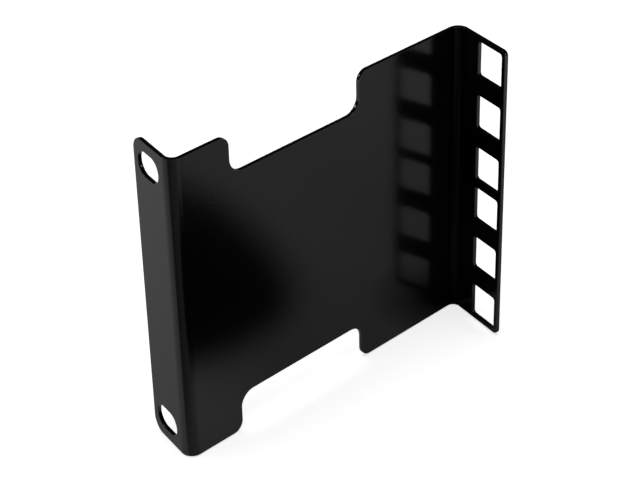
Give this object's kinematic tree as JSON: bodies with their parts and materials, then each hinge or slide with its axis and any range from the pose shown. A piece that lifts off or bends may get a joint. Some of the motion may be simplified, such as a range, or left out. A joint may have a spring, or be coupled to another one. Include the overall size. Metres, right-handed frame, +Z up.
{
  "type": "rack depth extender",
  "caption": "Black Z-folded sheet-metal bracket that moves a 19-inch rack mounting face forward, with screw slots on one flange and square cage-nut holes on the other.",
  "frame": {"origin": "centre of the bounding box on the floor plane, under the middle of the web", "axes": "+X from the rear (slotted) flange to the front (square-holed) flange, normal to both; +Y along the flanges, the way the rear flange points; +Z up along the hole rows"},
  "size_m": [0.1016, 0.0214, 0.0889],
  "materials": {
    "black_powder_coat": "satin black powder coat"
  },
  "bodies": {
    "root": {"bracket": "black_powder_coat"}
  },
  "joints": []
}
